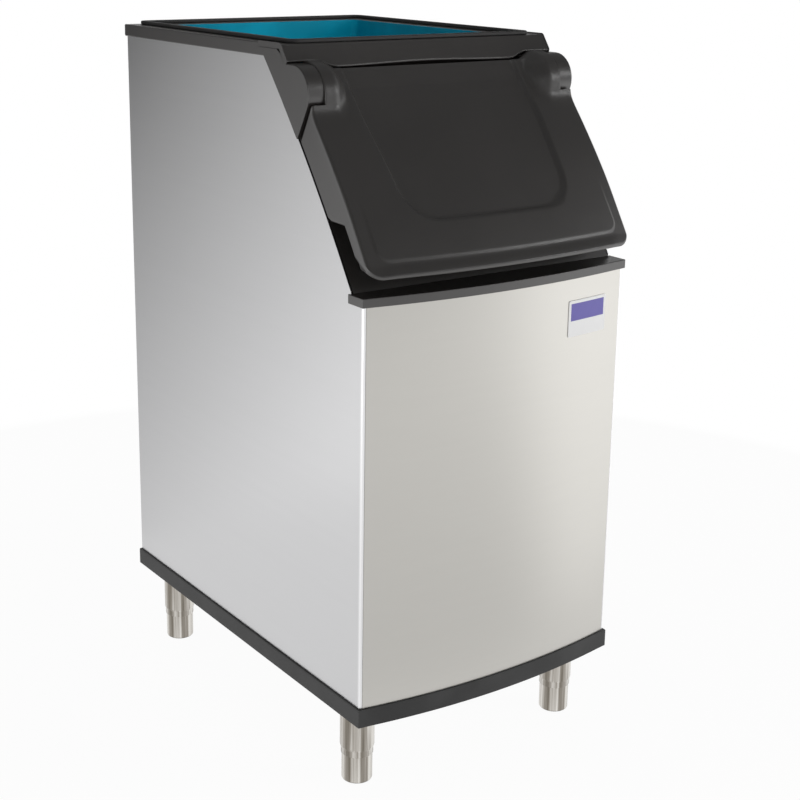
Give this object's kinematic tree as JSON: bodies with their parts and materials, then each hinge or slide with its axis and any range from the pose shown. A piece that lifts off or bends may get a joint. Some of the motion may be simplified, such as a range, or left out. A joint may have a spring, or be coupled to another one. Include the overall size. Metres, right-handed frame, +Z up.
{
  "type": "ice storage bin",
  "caption": "Insulated steel ice storage bin with a sloped lift-up door, moulded tub open at the top for an ice machine, and screw-adjusted legs.",
  "frame": {"origin": "centre of the bounding box on the floor, under the feet", "axes": "+Z up, front of the bin towards -Y, +X to the right seen from the front"},
  "size_m": [0.559, 0.864, 1.27],
  "materials": {
    "stainless": "brushed",
    "zinc_plate": "satin",
    "charcoal_plastic": "fine moulded texture",
    "base_plastic": "fine moulded texture",
    "liner_blue": "satin",
    "black_rubber": "matt",
    "insulation": "foamed",
    "white_plastic": "satin"
  },
  "bodies": {
    "cabinet": {"base_tray": "base_plastic", "left_side_panel": "stainless", "right_side_panel": "stainless", "front_panel": "stainless", "rear_panel": "zinc_plate", "liner": "liner_blue", "foam_jacket": "insulation", "left_top_trim": "charcoal_plastic", "right_top_trim": "charcoal_plastic", "rear_top_trim": "charcoal_plastic", "header": "charcoal_plastic", "rim_gasket": "black_rubber", "sill_band": "charcoal_plastic", "door_frame": "charcoal_plastic", "left_hinge_pin": "zinc_plate", "right_hinge_pin": "zinc_plate", "ice_deflector": "white_plastic", "left_thumb_screw": "zinc_plate", "right_thumb_screw": "zinc_plate", "drain_fitting": "white_plastic", "drain_nut": "white_plastic", "drain_strainer": "zinc_plate", "leg_front_left": "stainless", "leg_plate_front_left": "zinc_plate", "leg_front_right": "stainless", "leg_plate_front_right": "zinc_plate", "leg_rear_left": "stainless", "leg_plate_rear_left": "zinc_plate", "leg_rear_right": "stainless", "leg_plate_rear_right": "zinc_plate"},
    "door": {"door_shell": "charcoal_plastic", "door_inner_panel": "white_plastic", "door_foam": "insulation", "door_seal": "black_rubber", "left_hinge_bush": "white_plastic", "right_hinge_bush": "white_plastic"},
    "foot_front_left": {"foot_front_left": "stainless", "foot_pad_front_left": "black_rubber"},
    "foot_front_right": {"foot_front_right": "stainless", "foot_pad_front_right": "black_rubber"},
    "foot_rear_left": {"foot_rear_left": "stainless", "foot_pad_rear_left": "black_rubber"},
    "foot_rear_right": {"foot_rear_right": "stainless", "foot_pad_rear_right": "black_rubber"}
  },
  "joints": [
    {"name": "door_hinge", "type": "hinge", "parent": "cabinet", "child": "door", "pos_m": [0, -0.18604, 1.18907], "axis": [-1, 0, 0], "range_deg": [0, 125]},
    {"name": "foot_screw_front_left", "type": "slide", "parent": "cabinet", "child": "foot_front_left", "axis": [0, 0, -1], "range_m": [0, 0.038]},
    {"name": "foot_screw_front_right", "type": "slide", "parent": "cabinet", "child": "foot_front_right", "axis": [0, 0, -1], "range_m": [0, 0.038]},
    {"name": "foot_screw_rear_left", "type": "slide", "parent": "cabinet", "child": "foot_rear_left", "axis": [0, 0, -1], "range_m": [0, 0.038]},
    {"name": "foot_screw_rear_right", "type": "slide", "parent": "cabinet", "child": "foot_rear_right", "axis": [0, 0, -1], "range_m": [0, 0.038]}
  ]
}
